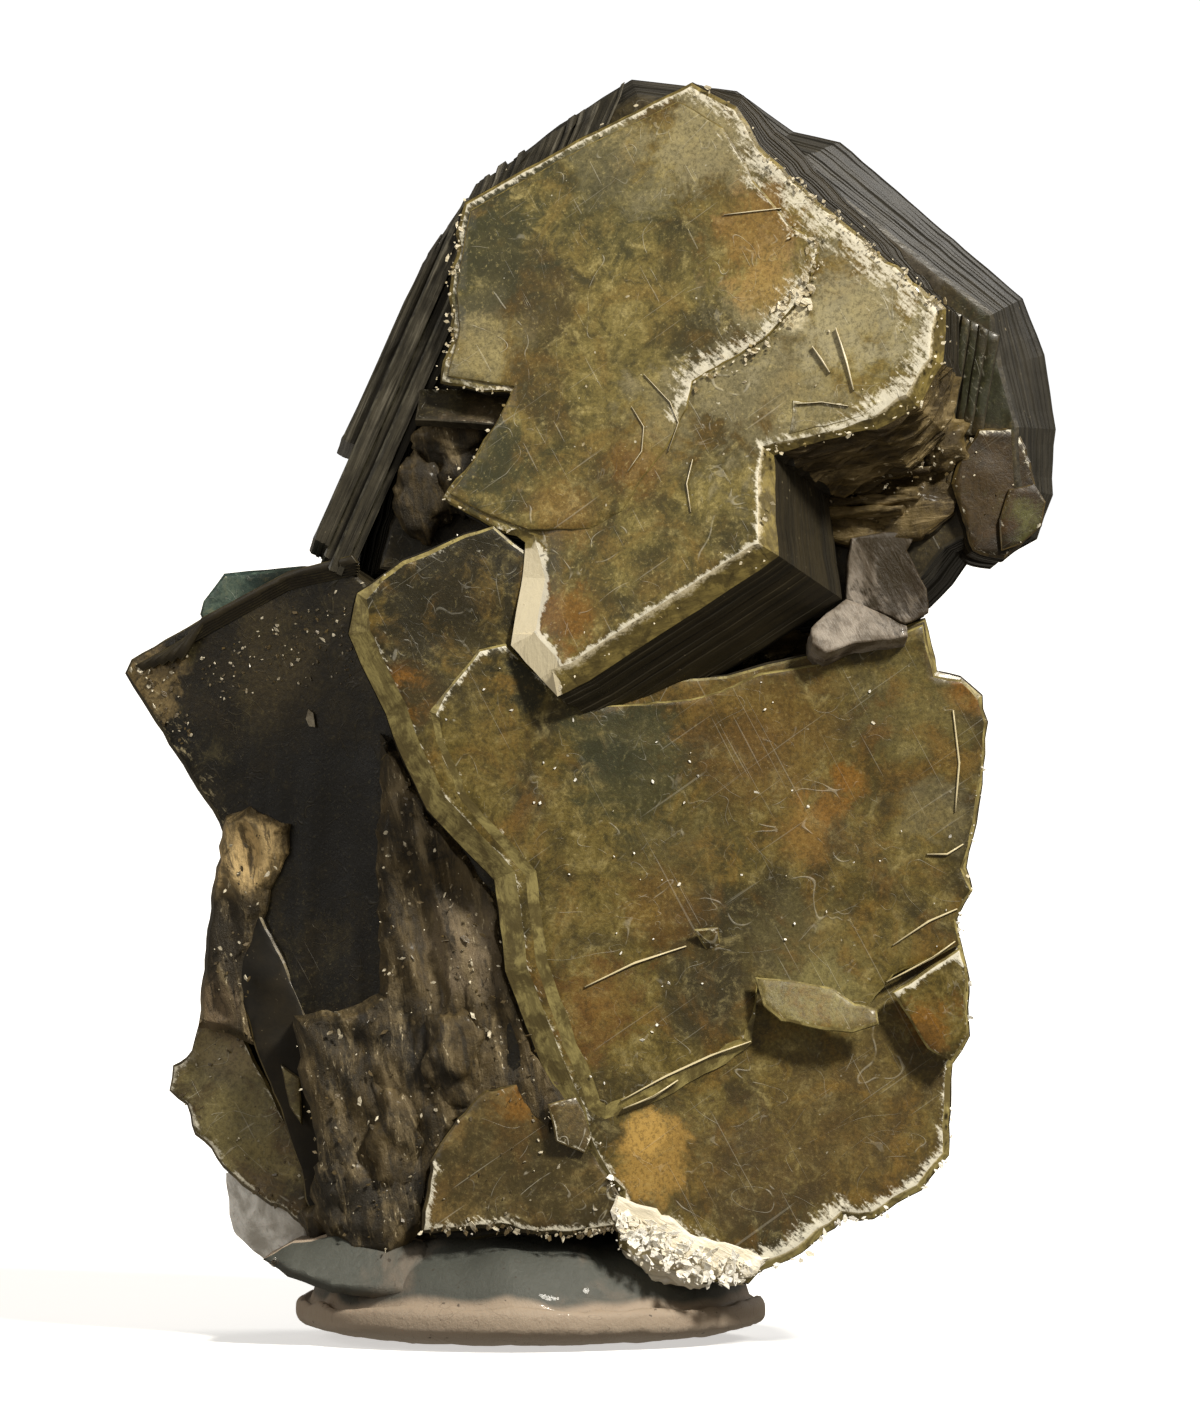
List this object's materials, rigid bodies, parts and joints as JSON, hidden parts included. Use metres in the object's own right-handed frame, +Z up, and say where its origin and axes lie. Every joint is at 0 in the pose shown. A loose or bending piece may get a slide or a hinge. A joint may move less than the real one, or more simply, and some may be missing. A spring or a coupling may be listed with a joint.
{
  "type": "mica crystal",
  "caption": "Upright cluster of intergrown mica books with stepped six-sided faces and striated edges, set in a pad of mounting putty.",
  "frame": {"origin": "centre of the putty's flat base", "axes": "+Z up, the cluster's display side faces -Y"},
  "size_m": [0.0466, 0.0255, 0.063],
  "materials": {
    "mica": "olive green and brown mica, glossy on its sheets, dark and finely striated on its edges",
    "feldspar": "pale grey pinkish feldspar, satin, with flat cleavage faces",
    "quartz": "milky grey quartz, glossy",
    "putty": "pale pinkish grey mounting putty, matt, creased and speckled"
  },
  "bodies": {
    "root": {"mica_cluster": "mica", "feldspar_chip": "feldspar", "quartz_chip": "quartz", "mounting_putty": "putty"}
  },
  "joints": []
}
